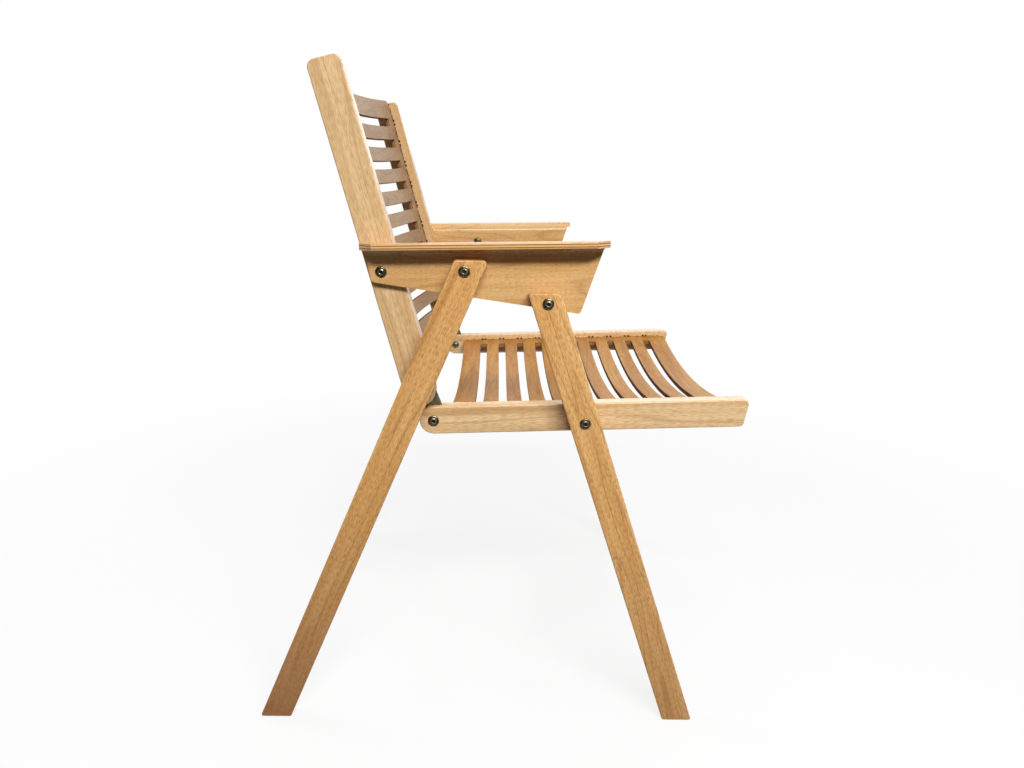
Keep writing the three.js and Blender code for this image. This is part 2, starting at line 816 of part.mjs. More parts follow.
addPair(
  frontLegs,
  "seat_pivot_spacer",
  ring(seatPivotOnLeg, spacerRadius, legInner - fitGap, frameOuter + fitGap),
  steel,
);

// The path of the hinge pin in the rear leg's frame as the chair folds. Each joint turns at a steady
// rate, from rest until the rail, the front leg and the rear leg all lie along the post.
function pinPath() {
  const armStart = frontPivot.clone().sub(armPivot).angle();
  const armEnd = placed(hinge, backLeanDegrees, foldedFrontPivot).sub(armPivot).angle();
  const armTurn = armEnd - armStart + 2 * Math.PI;
  const rearLegTurn = degrees(backLeanDegrees + rearLegLeanDegrees);
  return Array.from({ length: pinGrooveSteps + 1 }, (_, i) => {
    const share = i / pinGrooveSteps;
    const pivot = turned(rearPivot.clone().sub(armPivot), share * armTurn).add(armPivot);
    const fromPivot = turned(hinge.clone().sub(pivot), -share * rearLegTurn);
    return turned(fromPivot, degrees(rearLegLeanDegrees));
  });
}

// A round-ended slot of a given half width along a path of points
function slotAlong(path, half) {
  const heading = (i) => {
    const from = path[Math.max(i - 1, 0)];
    const to = path[Math.min(i + 1, path.length - 1)];
    return to.clone().sub(from).angle();
  };
  const offset = (i, angle) => turned(point(half, 0), heading(i) + angle).add(path[i]);
  const last = path.length - 1;
  const shape = new THREE.Shape(path.slice(1, last).map((_, i) => offset(i + 1, -Math.PI / 2)));
  const ahead = heading(last);
  shape.absarc(path[last].x, path[last].y, half, ahead - Math.PI / 2, ahead + Math.PI / 2, false);
  for (let i = last - 1; i > 0; i--) {
    const p = offset(i, Math.PI / 2);
    shape.lineTo(p.x, p.y);
  }
  shape.absarc(path[0].x, path[0].y, half, heading(0) + Math.PI / 2, heading(0) + 1.5 * Math.PI, false);
  return shape;
}

const rearLegs = leaningGroup(rearPivot, -rearLegLeanDegrees);
const rearStretcherOnLeg = point(rearLegAheadOfPivot, -rearStretcherBelowPivot);
const rearLegShape = legOutline(-rearLegLeanDegrees, {
  width: rearLegWidth,
  ahead: rearLegAheadOfPivot,
  pivotHeight: rearPivot.y,
  topRise: rearLegTopRise,
  topRadii: rearLegTopRadii,
});
const pinGroove = slotAlong(pinPath(), hingePinRadius + fitGap);
const rearLeg = cut(
  board(rearLegShape, legOuter, legInner, { round: edgeRadius }),
  boltHole(legPivotHere, legOuter + cutOverrun, legInner - cutOverrun),
  board(pinGroove, legInner + pinGrooveDepth, legInner - cutOverrun, { steps: 3 }),
  stretcherSocket(rearStretcherOnLeg),
);
addPair(rearLegs, "rear_leg", rearLeg, legBeech);
addPiece(rearLegs, "rear_stretcher", stretcher(rearStretcherOnLeg), legBeech);

const chair = new THREE.Group();
chair.add(back, seat, arms, frontLegs, rearLegs);
chair.updateMatrixWorld(true);
const box = new THREE.Box3().setFromObject(chair, true);
chair.position.x = -(box.min.x + box.max.x) / 2;

export default chair;
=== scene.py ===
"""Finish, light and camera for a folding armchair in solid beech and moulded beech plywood."""
import json
import math

import bpy
from mathutils import Matrix, Vector


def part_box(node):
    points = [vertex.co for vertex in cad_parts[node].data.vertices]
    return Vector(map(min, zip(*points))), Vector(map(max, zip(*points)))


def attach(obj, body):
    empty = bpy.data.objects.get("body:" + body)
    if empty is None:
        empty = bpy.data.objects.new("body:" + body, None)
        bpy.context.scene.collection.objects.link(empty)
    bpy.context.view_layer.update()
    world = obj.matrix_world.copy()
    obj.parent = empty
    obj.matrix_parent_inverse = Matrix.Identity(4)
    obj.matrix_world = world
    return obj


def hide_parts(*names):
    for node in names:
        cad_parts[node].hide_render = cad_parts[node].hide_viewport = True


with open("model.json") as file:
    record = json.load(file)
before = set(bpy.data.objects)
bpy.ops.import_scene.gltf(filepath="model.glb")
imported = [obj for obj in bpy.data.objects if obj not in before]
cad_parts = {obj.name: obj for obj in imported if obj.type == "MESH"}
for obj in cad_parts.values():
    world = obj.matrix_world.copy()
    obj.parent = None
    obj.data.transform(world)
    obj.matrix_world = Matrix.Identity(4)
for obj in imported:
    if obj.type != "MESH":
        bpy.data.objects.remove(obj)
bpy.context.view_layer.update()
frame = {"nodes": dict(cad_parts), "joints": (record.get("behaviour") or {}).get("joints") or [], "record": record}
nodes = frame["nodes"]
pivots = {joint["name"]: Vector(joint["pos_m"]) for joint in frame["joints"]}
bodies = frame["record"]["behaviour"]["bodies"]
body_of = {name: body for body, names in bodies.items() for name in names}

# Angles, in radians
QUARTER = math.pi / 2
SEAT_SLOPE = math.radians(2.4)
BACK_LEAN = math.radians(15.5)
FRONT_LEG_LEAN = math.radians(18.97)
REAR_LEG_LEAN = math.radians(22.75)
ARM_SLOPE = math.radians(1.8)

# Camera: its place is in metres, its sensor and lens in millimetres
CAMERA_PLACE = (-0.004951, -1.195609, 0.703677)
CAMERA_PITCH = math.radians(14.183)
CAMERA_YAW = math.radians(1.178)
CAMERA_ROLL = math.radians(1.32)
SENSOR_WIDTH = 36
FOCAL_LENGTH = 26.864

# Distances from the middle of the chair, in metres, as all sizes below
LEG_OUTER = 0.2898
FRAME_OUTER = 0.26
FRAME_INNER = 0.238
FLANGE_INNER = 0.2604
SHOULDER = 0.2377

# Panels: a slot's first edge, pitch and width lie along the panel, and its end across the chair
PANEL_PLY = 0.007
SLOT_COUNT = 10
SEAT_SAGITTA = 0.028
SEAT_RISE = 0.008
SEAT_SLOTS = {"first": 0.04815, "pitch": 0.033994, "width": 0.0123, "end": 0.2197}
HINGE_AHEAD_OF_POST = 0.00285
BACK_SAGITTA = 0.0321
BACK_RISE = 0.005 - HINGE_AHEAD_OF_POST
BACK_SLOTS = {"first": -0.383, "pitch": 0.03625, "width": 0.0134, "end": 0.2227}
SLOT_MARGIN = 0.001
SLOT_END_EDGE = (0.001, 0.0004)
# Painted shade on the slot walls: the end walls, which face the light, are painted lighter by this share
SLOT_END_LIGHTER = 0.5

# Joint lines and mortise ends along the panels, on the frame's inner faces
INNER_FACE_EDGE = (FRAME_INNER + 0.0006, FRAME_INNER + 0.001)
JOINT_LINE = 0.0005
JOINT_SCALE = (160, 0, 0)
JOINT_BREAKS = (0.62, 0.7)
POST_DASH = 0.2
RAIL_DASH = 0.12
MORTISE_END = 0.0032
MORTISE_LEVEL = 0.0008
MORTISE_DOT = (0.0018, 0.0024)

# Armrests
ARM_PLY = 0.008
ARM_TOP = 0.035
ARM_BEND = 0.016

# Bolts: how far out the undersides of the heads lie, and how far in the shanks reach
FIT_GAP = 0.0003
BOLT_RADIUS = 0.003
ARM_BOLT_HEAD = 0.266
ARM_BOLT_END = 0.2473
LEG_BOLT_HEAD = LEG_OUTER + FIT_GAP
LEG_BOLT_END = 0.2637
SEAT_BOLT_END = 0.2476
PLATE_BOLT_HEAD = FRAME_OUTER + FIT_GAP
PLATE_BOLT_END = 0.236

# Bolt heads: the profile gives shares of the radius and heights above the underside
HEAD_RADIUS = 0.007
HEAD_EDGE = 0.0003
HEAD_PROFILE = (
    (1.0, HEAD_EDGE),
    (1.0, 0.0009),
    (0.94, 0.0014),
    (0.78, 0.0017),
    (0.74, 0.0013),
    (0.7, 0.0014),
    (0.64, 0.0021),
    (0.52, 0.0026),
    (0.38, 0.003),
    (0.3, 0.0027),
    (0.27, 0.0014),
    (0.06, 0.0012),
)
# Dark parts of the heads: side and rim painted dark as a painted reflection of dark surroundings, and groove and
# socket as painted shade, with tarnish in these hollows
DARK_SIDE_BELOW = 0.0013
DARK_RIM_OUTSIDE = 0.88
DARK_GROOVE = (0.66, 0.77)
DARK_SOCKET = 0.3

# Meshes
MERGE_DISTANCE = 0.00001
FLAT_ANGLE = math.radians(0.4)
BEVEL_ANGLE = math.radians(60)
COPY_SMOOTH_ANGLE = math.radians(50)
TURNED_SMOOTH_ANGLE = math.radians(40)
TURNED_SIDES = 40
PANEL_BEVEL = 0.0008
PLATE_BEVEL = 0.0003

# Beech: scales count a pattern's repeats in a metre, first along the grain and then across it.
# Here and below, a strength or roughness in two numbers is its spread and its least value
STRIPE_SCALE = (3.5, 60, 60)
GRAIN_SCALE = (16, 480, 480)
CLOUD_SCALE = (7, 12, 12)
STRIPE_SHARE = 0.5
GRAIN_SHARE = 0.35
CLOUD_SHARE = 0.15
TONE_EDGE = (0.38, 0.62)
GRAIN_ROUGHNESS = (0.18, 0.38)
GRAIN_RELIEF = 0.5
FIGURE_SCALE = (2.6, 24, 24)
FIGURE_TURNS = 10.0
FIGURE_LINE = 0.16
FIGURE_AMOUNT = 0.34
FLECK_SCALE = (165, 1150, 0)
FLECK_EDGE = (0.28, 0.44)
FLECK_STRENGTH = (0.9, 0.2)
FLECK_ROUGHNESS = 0.2
WAVER_SCALE = (60, 60, 60)
WAVER_REACH = 0.003
LEG_STRETCH = (0.7, 1, 1)
FRAME_STRETCH = (0.5, 1.1, 1.1)
LEG_FLECKS = 0.55
STRETCHER_FLECKS = 0.75
FRAME_FLECKS = 0.58
PANEL_FLECKS = 0.4
ARM_FLECKS = 0.45
# Painted shade: the legs darken towards the floor between these levels, the rear legs fully and the front legs by
# a share
FOOT_SHADE_LEVELS = (-0.15, 0.36)
FRONT_FOOT_SHADE = 0.3
REAR_FOOT_SHADE = 1.0

# Plywood edges: the layers show from a small depth under a face, and every second one is dark
PLY_LAYERS = 5.0
PLY_FACE_EDGE = (0.0003, 0.0008)
PLY_LAYER_EDGE = (0.5, 0.8)
PLY_EDGE_ROUGHNESS = 0.5
PLY_EDGE_GROOVE = -0.6

# Lacquer and metal
SPECULAR = 0.2
SOLID_COAT = 0.7
PANEL_COAT = 0.04
ARM_COAT = 0.5
COAT_ROUGHNESS = 0.16
LACQUER_BUMP = {"Strength": 0.35, "Distance": 0.0002}
PATCH_SCALE = (260, 260, 260)
PATCH_EDGE = (0.4, 0.62)
SCUFF_SCALE = (2400, 300, 2400)
METAL_BUMP = {"Strength": 0.2, "Distance": 0.0001}
METAL_ROUGHNESS = (0.3, 0.2)
PATINA_AND_SHADE_ROUGHNESS = 0.2
STEEL_ADDED_ROUGHNESS = 0.12

# Floor and world: in reflections both are dimmer near the camera, and the world brighter at right
NEAR_WHITE = 0.2
RIGHT_WHITE = 2.2
WORLD_FILL = 0.045
WORLD_NEAR = (-0.7, 0.1)
WORLD_RIGHT = (0.2, 0.7)
FLOOR_NEAR = (-1.0, 0.2)
FLOOR_FAR = (0.5, 1.9)
FLOOR_WHITE = 0.82
FLOOR_RADIUS = 30
FLOOR_SIDES = 64
FLOOR_LIT = (0.13, 0.12, 0.11, 1)
FLOOR_SEEN = (0.96, 0.96, 0.96, 1)
WHITE = (1, 1, 1, 1)

# Lamps: name, place, target, size in metres, and power in watts
LAMPS = (
    ("strip above the camera", (0.5, -2.05, 2.0), (0, -0.3, 0.6), (1.8, 0.35), 66),
    ("overhead", (0, 0.4, 2.8), (0, 0, 0.4), (2.0, 2.0), 18),
    ("far side", (0, 2.6, 1.8), (0, 0.2, 0.5), (3.0, 1.8), 15),
    ("front right", (2.2, -1.1, 1.5), (0.1, -0.3, 0.5), (0.5, 1.2), 3),
    ("front", (2.7, 0.9, 1.5), (0, 0, 0.5), (1.4, 1.0), 5),
    ("behind", (-2.7, 0.9, 1.5), (0, 0, 0.5), (1.4, 1.0), 24),
)


# Camera


def place_camera():
    """The photograph's own view of the chair."""
    reach = math.cos(CAMERA_PITCH)
    ahead = math.cos(CAMERA_YAW)
    aside = math.sin(CAMERA_YAW)
    forward = Vector((aside * reach, ahead * reach, -math.sin(CAMERA_PITCH)))
    level = Vector((ahead, -aside, 0))
    upright = level.cross(forward)
    right = level * math.cos(CAMERA_ROLL) + upright * math.sin(CAMERA_ROLL)
    up = upright * math.cos(CAMERA_ROLL) - level * math.sin(CAMERA_ROLL)
    lens = bpy.data.cameras.new("camera")
    lens.sensor_width = SENSOR_WIDTH
    lens.lens = FOCAL_LENGTH
    camera = bpy.data.objects.new("camera", lens)
    camera.matrix_world = Matrix((right, up, -forward)).transposed().to_4x4()
    camera.location = CAMERA_PLACE
    bpy.context.scene.collection.objects.link(camera)
    bpy.context.scene.camera = camera


place_camera()


# Node helpers


def shade(red, green, blue):
    """A colour from 0 to 255 as it looks on screen, as the linear colour that shaders take."""
    linear = [((v / 255 + 0.055) / 1.055) ** 2.4 for v in (red, green, blue)]
    return (*linear, 1)


def fill_inputs(tree, node, inputs):
    """Links the sockets to a node's inputs, and sets the inputs that are given as values."""
    for key, value in inputs.items():
        if isinstance(value, bpy.types.NodeSocket):
            tree.links.new(value, node.inputs[key])
        else:
            node.inputs[key].default_value = value


def put(tree, kind, inputs=None, **settings):
    """Adds a node with its settings and inputs."""
    node = tree.nodes.new(kind)
    for name, value in settings.items():
        setattr(node, name, value)
    fill_inputs(tree, node, inputs or {})
    return node


def put_effect(tree, group, inputs):
    """Adds a shared effect and gives back its outputs."""
    node = tree.nodes.new("ShaderNodeGroup")
    node.node_tree = group
    fill_inputs(tree, node, inputs)
    return node.outputs


def maths(tree, operation, *values):
    return put(tree, "ShaderNodeMath", dict(enumerate(values)), operation=operation).outputs[0]


def plus(tree, first, second):
    return maths(tree, "ADD", first, second)


def minus(tree, first, second):
    return maths(tree, "SUBTRACT", first, second)


def times(tree, first, second):
    return maths(tree, "MULTIPLY", first, second)


def hypotenuse(tree, first, second):
    squares = [maths(tree, "POWER", side, 2.0) for side in (first, second)]
    return maths(tree, "SQRT", plus(tree, *squares))


def blend(tree, factor, first, second):
    inputs = {0: factor, 6: first, 7: second}
    return put(tree, "ShaderNodeMix", inputs, data_type="RGBA").outputs[2]


def band(tree, value, low, high, out_low=0.0, out_high=1.0):
    """A smooth step from out_low to out_high, as the value goes from low to high."""
    inputs = {0: value, 1: low, 2: high, 3: out_low, 4: out_high}
    return put(tree, "ShaderNodeMapRange", inputs, interpolation_type="SMOOTHSTEP").outputs[0]


def within(tree, value, middle, half, soft):
    """1 where the value lies within a half width of the middle, falling to 0 over a soft edge."""
    away = maths(tree, "ABSOLUTE", minus(tree, value, middle))
    return band(tree, away, half, half + soft, 1.0, 0.0)


def scaled(tree, vector, scale):
    inputs = {0: vector, 1: scale}
    return put(tree, "ShaderNodeVectorMath", inputs, operation="MULTIPLY").outputs[0]


def split(tree, vector):
    return put(tree, "ShaderNodeSeparateXYZ", {0: vector}).outputs


def noise(tree, place, scale, detail, roughness=0.55, distortion=0.0):
    inputs = {
        "Vector": scaled(tree, place, scale),
        "Scale": 1.0,
        "Detail": detail,
        "Roughness": roughness,
        "Distortion": distortion,
    }
    return put(tree, "ShaderNodeTexNoise", inputs).outputs["Fac"]


def coordinates(tree, kind="Object"):
    return tree.nodes.new("ShaderNodeTexCoord").outputs[kind]


def turned_place(tree, rotation):
    """Object coordinates turned about the origin."""
    inputs = {"Vector": coordinates(tree), "Rotation": rotation}
    return put(tree, "ShaderNodeMapping", inputs, vector_type="POINT").outputs[0]


def place_from(tree, origin, rotation):
    """Object coordinates as seen from a turned origin."""
    inputs = {"Vector": coordinates(tree), "Location": origin, "Rotation": rotation}
    return put(tree, "ShaderNodeMapping", inputs, vector_type="TEXTURE").outputs[0]


def new_effect(name, sockets_in):
    """A shared effect, what it is given, and the node for its colour, roughness and height."""
    group = bpy.data.node_groups.new(name, "ShaderNodeTree")
    sockets_out = {"Color": "Color", "Roughness": "Float", "Height": "Float"}
    for way, sockets in (("INPUT", sockets_in), ("OUTPUT", sockets_out)):
        for label, kind in sockets.items():
            group.interface.new_socket(name=label, in_out=way, socket_type="NodeSocket" + kind)
    return group, group.nodes.new("NodeGroupInput").outputs, group.nodes.new("NodeGroupOutput")


def new_material(name):
    material = bpy.data.materials.new(name)
    material.use_nodes = True
    tree = material.node_tree
    tree.nodes.clear()
    return material, tree


# Shared effects


def fleck_dashes(tree, place):
    """Short dashes along X, some stronger than others, on every face that X runs along."""
    axes = split(tree, place)
    waver = noise(tree, place, WAVER_SCALE, detail=1.0)
    across = maths(tree, "MULTIPLY_ADD", waver, WAVER_REACH, plus(tree, axes[1], axes[2]))
    flat = put(tree, "ShaderNodeCombineXYZ", {0: axes[0], 1: across}).outputs[0]
    inputs = {"Vector": scaled(tree, flat, FLECK_SCALE), "Scale": 1.0}
    cells = put(tree, "ShaderNodeTexVoronoi", inputs, voronoi_dimensions="2D").outputs
    chance = put(tree, "ShaderNodeSeparateColor", {0: cells["Color"]}).outputs[0]
    dashes = band(tree, cells["Distance"], *FLECK_EDGE, 1.0, 0.0)
    return times(tree, dashes, maths(tree, "MULTIPLY_ADD", chance, *FLECK_STRENGTH))


def figure_lines(tree, place):
    """Long thin lines, as on a sawn board, from the contours of a slow noise."""
    contour = noise(tree, place, FIGURE_SCALE, detail=1.0, roughness=0.4, distortion=0.5)
    turns = maths(tree, "PINGPONG", times(tree, contour, FIGURE_TURNS), 0.5)
    return band(tree, turns, 0.0, FIGURE_LINE, FIGURE_AMOUNT, 0.0)


def beech_grain_effect():
    """Beech with soft stripes, fine grain, figure and dark flecks. The grain runs along X."""
    group, given, result = new_effect(
        "Beech grain",
        {
            "Vector": "Vector",
            "Pale": "Color",
            "Deep": "Color",
            "Fleck": "Color",
            "Fleck amount": "Float",
        },
    )
    place = given["Vector"]
    stripes = noise(group, place, STRIPE_SCALE, detail=3.0, distortion=0.5)
    grain = noise(group, place, GRAIN_SCALE, detail=4.0, roughness=0.65)
    clouds = noise(group, place, CLOUD_SCALE, detail=2.0)
    flecks = times(group, fleck_dashes(group, place), given["Fleck amount"])
    tone = plus(group, times(group, stripes, STRIPE_SHARE), times(group, grain, GRAIN_SHARE))
    tone = plus(group, tone, times(group, clouds, CLOUD_SHARE))
    color = blend(group, band(group, tone, *TONE_EDGE), given["Pale"], given["Deep"])
    color = blend(group, figure_lines(group, place), color, given["Fleck"])
    color = blend(group, flecks, color, given["Fleck"])
    roughness = maths(group, "MULTIPLY_ADD", grain, *GRAIN_ROUGHNESS)
    roughness = maths(group, "MULTIPLY_ADD", flecks, FLECK_ROUGHNESS, roughness)
    height = minus(group, times(group, grain, GRAIN_RELIEF), flecks)
    fill_inputs(group, result, {"Color": color, "Roughness": roughness, "Height": height})
    return group


def ply_edge_effect():
    """The layers of a plywood edge, by how deep a point lies under the upper face."""
    group, given, result = new_effect(
        "Plywood edge",
        {
            "Depth": "Float",
            "Sheet": "Float",
            "Face": "Color",
            "Light layer": "Color",
            "Dark layer": "Color",
        },
    )
    depth = given["Depth"]
    layer = maths(group, "DIVIDE", given["Sheet"], PLY_LAYERS)
    turn = maths(group, "PINGPONG", minus(group, depth, times(group, layer, 0.5)), layer)
    dark = band(group, maths(group, "DIVIDE", turn, layer), *PLY_LAYER_EDGE)
    inside = maths(group, "MINIMUM", depth, minus(group, given["Sheet"], depth))
    wall = band(group, inside, *PLY_FACE_EDGE)
    layers = blend(group, dark, given["Light layer"], given["Dark layer"])
    color = blend(group, wall, given["Face"], layers)
    roughness = times(group, wall, PLY_EDGE_ROUGHNESS)
    height = times(group, times(group, dark, wall), PLY_EDGE_GROOVE)
    fill_inputs(group, result, {"Color": color, "Roughness": roughness, "Height": height})
    return group


def worn_metal_effect():
    """Patches and fine scuffs on old metal."""
    group, given, result = new_effect(
        "Worn metal", {"Vector": "Vector", "Clean": "Color", "Tarnished": "Color"}
    )
    patches = noise(group, given["Vector"], PATCH_SCALE, detail=4.0, roughness=0.6)
    scuffs = noise(group, given["Vector"], SCUFF_SCALE, detail=2.0)
    color = blend(group, band(group, patches, *PATCH_EDGE), given["Clean"], given["Tarnished"])
    roughness = maths(group, "MULTIPLY_ADD", patches, *METAL_ROUGHNESS)
    fill_inputs(group, result, {"Color": color, "Roughness": roughness, "Height": scuffs})
    return group


BEECH_GRAIN = beech_grain_effect()
PLY_EDGE = ply_edge_effect()
WORN_METAL = worn_metal_effect()


# Materials


# Beech: pale, deep and fleck
LEG_TONES = (shade(246, 195, 127), shade(223, 166, 96), shade(142, 84, 26))
POST_TONES = (shade(234, 200, 152), shade(216, 176, 122), shade(172, 124, 72))
RAIL_TONES = (shade(248, 214, 164), shade(224, 184, 130), shade(180, 130, 78))
SEAT_TONES = (shade(199, 145, 68), shade(173, 114, 40), shade(132, 80, 26))
BACK_TONES = (shade(180, 148, 114), shade(158, 126, 94), shade(130, 96, 68))
ARM_TONES = (shade(228, 186, 126), shade(208, 159, 95), shade(172, 120, 66))
# Painted shade: the colour that the legs are darkened to towards the floor
FOOT_SHADE_COLOR = LEG_TONES[2]
JOINT_COLOR = shade(52, 26, 10)

# Plywood layers: light and dark
ARM_LAYERS = (shade(230, 184, 124), shade(146, 92, 48))
PANEL_LAYERS = (shade(206, 160, 112), shade(150, 102, 62))
# Painted shade: layers for the walls of the slots, painted dark as the shade inside them
SLOT_SHADE_LAYERS = (shade(126, 78, 40), shade(74, 40, 18))

# Metal: clean and tarnished
BRASS_TONES = (shade(124, 116, 94), shade(74, 66, 50))
# Dark metal for the heads' side, rim, groove and socket: painted shade and painted dark reflection, with tarnish
PATINA_AND_SHADE_TONES = (shade(54, 48, 36), shade(34, 28, 20))
STEEL_TONES = (shade(136, 134, 112), shade(104, 102, 84))


def beech(tree, place, tones, flecks):
    pale, deep, fleck = tones
    inputs = {"Vector": place, "Pale": pale, "Deep": deep, "Fleck": fleck, "Fleck amount": flecks}
    return put_effect(tree, BEECH_GRAIN, inputs)


def lacquered(tree, color, roughness, height, coat):
    inputs = {
        "Base Color": color,
        "Roughness": roughness,
        "Normal": put(tree, "ShaderNodeBump", {"Height": height, **LACQUER_BUMP}).outputs[0],
        "Specular IOR Level": SPECULAR,
        "Coat Weight": coat,
        "Coat Roughness": COAT_ROUGHNESS,
    }
    shader = put(tree, "ShaderNodeBsdfPrincipled", inputs)
    put(tree, "ShaderNodeOutputMaterial", {"Surface": shader.outputs[0]})


def leg_beech(name, rotation_y, foot_shade_share):
    """Orange beech of the legs, with painted shade that darkens them towards the floor by the share given last."""
    material, tree = new_material(name)
    along = scaled(tree, turned_place(tree, (0, rotation_y, 0)), LEG_STRETCH)
    grain = beech(tree, along, LEG_TONES, LEG_FLECKS)
    level = split(tree, coordinates(tree))[2]
    # Painted shade, darker towards the floor where less light falls
    painted_foot_shade = band(tree, level, *FOOT_SHADE_LEVELS, foot_shade_share, 0.0)
    color = blend(tree, painted_foot_shade, grain["Color"], FOOT_SHADE_COLOR)
    lacquered(tree, color, grain["Roughness"], grain["Height"], SOLID_COAT)
    return material


def stretcher_beech():
    """The legs' beech with its grain across the chair."""
    material, tree = new_material("stretcher beech")
    across = turned_place(tree, (0, 0, -QUARTER))
    grain = beech(tree, across, LEG_TONES, STRETCHER_FLECKS)
    lacquered(tree, grain["Color"], grain["Roughness"], grain["Height"], SOLID_COAT)
    return material


def slot_stretch(slots):
    """The middle and the half length of the stretch of a panel that its slots take up."""
    half = (slots["pitch"] * (SLOT_COUNT - 1) + slots["width"]) / 2
    return slots["first"] + half, half


def joint_line(tree, place, level, dash):
    """The line where a panel meets the frame, in longer pieces where dash is larger."""
    line = within(tree, level, JOINT_LINE, JOINT_LINE, JOINT_LINE)
    breaks = [edge - dash for edge in JOINT_BREAKS]
    pieces = band(tree, noise(tree, place, JOINT_SCALE, detail=1.0), *breaks)
    return times(tree, line, pieces)


def mortise_ends(tree, along, level, slots):
    """A dark dot on either side of each slot's middle, where the panel's mortises end."""
    from_first = minus(tree, along, slots["first"] + slots["width"] / 2 - slots["pitch"] / 2)
    in_pitch = maths(tree, "WRAP", from_first, slots["pitch"], 0.0)
    from_middle = maths(tree, "ABSOLUTE", minus(tree, in_pitch, slots["pitch"] / 2))
    from_dot = hypotenuse(
        tree, minus(tree, from_middle, MORTISE_END), minus(tree, level, MORTISE_LEVEL)
    )
    dots = band(tree, from_dot, *MORTISE_DOT, 1.0, 0.0)
    return times(tree, dots, within(tree, along, *slot_stretch(slots), SLOT_MARGIN))


def frame_beech(name, rotation_y, tones, origin, turn, slots, dash):
    """Pale beech of posts and rails, with the marks of the panel on its inner face."""
    material, tree = new_material(name)
    along = scaled(tree, turned_place(tree, (0, rotation_y, 0)), FRAME_STRETCH)
    grain = beech(tree, along, tones, FRAME_FLECKS)
    place = place_from(tree, origin, (0, turn, 0))
    axes = split(tree, place)
    inner_face = band(tree, maths(tree, "ABSOLUTE", axes[1]), *INNER_FACE_EDGE, 1.0, 0.0)
    line = joint_line(tree, place, axes[2], dash)
    marks = maths(tree, "MAXIMUM", line, mortise_ends(tree, axes[0], axes[2], slots))
    marks = times(tree, marks, inner_face)
    color = blend(tree, marks, grain["Color"], JOINT_COLOR)
    roughness = plus(tree, grain["Roughness"], marks)
    lacquered(tree, color, roughness, minus(tree, grain["Height"], marks), SOLID_COAT)
    return material


def plywood(tree, grain, depth, sheet, layers, coat):
    """Plywood with its grain on the faces and its layers on the edges."""
    light, dark = layers
    inputs = {
        "Depth": depth,
        "Sheet": sheet,
        "Face": grain["Color"],
        "Light layer": light,
        "Dark layer": dark,
    }
    edge = put_effect(tree, PLY_EDGE, inputs)
    roughness = plus(tree, grain["Roughness"], edge["Roughness"])
    height = plus(tree, grain["Height"], edge["Height"])
    lacquered(tree, edge["Color"], roughness, height, coat)


def panel_plywood(name, origin, turn, sagitta, slots, tones):
    """Moulded panel. From its origin X runs along it, and Z out of its hollow face."""
    material, tree = new_material(name)
    grain = beech(tree, turned_place(tree, (0, 0, -QUARTER)), tones, PANEL_FLECKS)
    along, across, level = split(tree, place_from(tree, origin, (0, turn, 0)))
    radius = (SHOULDER**2 + sagitta**2) / (2 * sagitta)
    from_centre = hypotenuse(tree, minus(tree, radius - sagitta, level), across)
    depth = minus(tree, from_centre, radius)
    in_slots = within(tree, along, *slot_stretch(slots), SLOT_MARGIN)
    # Painted shade: edges within the slotted stretch take the dark layers as shade in the slots, and the slot
    # ends, which face the light, half as much
    end_edge = [slots["end"] - inset for inset in SLOT_END_EDGE]
    at_end = band(tree, maths(tree, "ABSOLUTE", across), *end_edge)
    slot_wall_shade = times(tree, in_slots, minus(tree, 1.0, times(tree, at_end, SLOT_END_LIGHTER)))
    layers = [blend(tree, slot_wall_shade, *colors) for colors in zip(PANEL_LAYERS, SLOT_SHADE_LAYERS)]
    plywood(tree, grain, depth, PANEL_PLY, layers, PANEL_COAT)
    return material


def arm_plywood():
    """L-shaped armrest. Its layers follow the bend between the flange and the board."""
    material, tree = new_material("arm plywood")
    grain = beech(tree, turned_place(tree, (0, ARM_SLOPE, 0)), ARM_TONES, ARM_FLECKS)
    axes = split(tree, place_from(tree, pivots["arm_fold"], (0, -ARM_SLOPE, 0)))
    outwards = minus(tree, maths(tree, "ABSOLUTE", axes[1]), FLANGE_INNER)
    downwards = minus(tree, ARM_TOP, axes[2])
    side = maths(tree, "MAXIMUM", minus(tree, ARM_BEND, outwards), 0.0)
    rise = maths(tree, "MAXIMUM", minus(tree, ARM_BEND, downwards), 0.0)
    depth = minus(tree, ARM_BEND, hypotenuse(tree, side, rise))
    plywood(tree, grain, depth, ARM_PLY, ARM_LAYERS, ARM_COAT)
    return material


def metal(name, tones, added_roughness=0.0):
    material, tree = new_material(name)
    clean, tarnished = tones
    inputs = {"Vector": coordinates(tree), "Clean": clean, "Tarnished": tarnished}
    worn = put_effect(tree, WORN_METAL, inputs)
    inputs = {
        "Base Color": worn["Color"],
        "Roughness": plus(tree, worn["Roughness"], added_roughness),
        "Normal": put(tree, "ShaderNodeBump", {"Height": worn["Height"], **METAL_BUMP}).outputs[0],
        "Metallic": 1.0,
    }
    shader = put(tree, "ShaderNodeBsdfPrincipled", inputs)
    put(tree, "ShaderNodeOutputMaterial", {"Surface": shader.outputs[0]})
    return material


def axis_of(node):
    """Where the axis of a bolt meets the chair's middle plane."""
    low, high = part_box(node)
    return Vector(((low[0] + high[0]) / 2, 0, (low[2] + high[2]) / 2))


plate_axis = axis_of("plate_bolt_right")
seat_lift = Vector((-SEAT_RISE * math.sin(SEAT_SLOPE), 0, SEAT_RISE * math.cos(SEAT_SLOPE)))
back_lift = BACK_RISE * Vector((math.cos(BACK_LEAN), 0, math.sin(BACK_LEAN)))
seat_origin = plate_axis + seat_lift
back_origin = pivots["seat_fold"] + back_lift
seat_turn = -SEAT_SLOPE
back_turn = QUARTER - BACK_LEAN

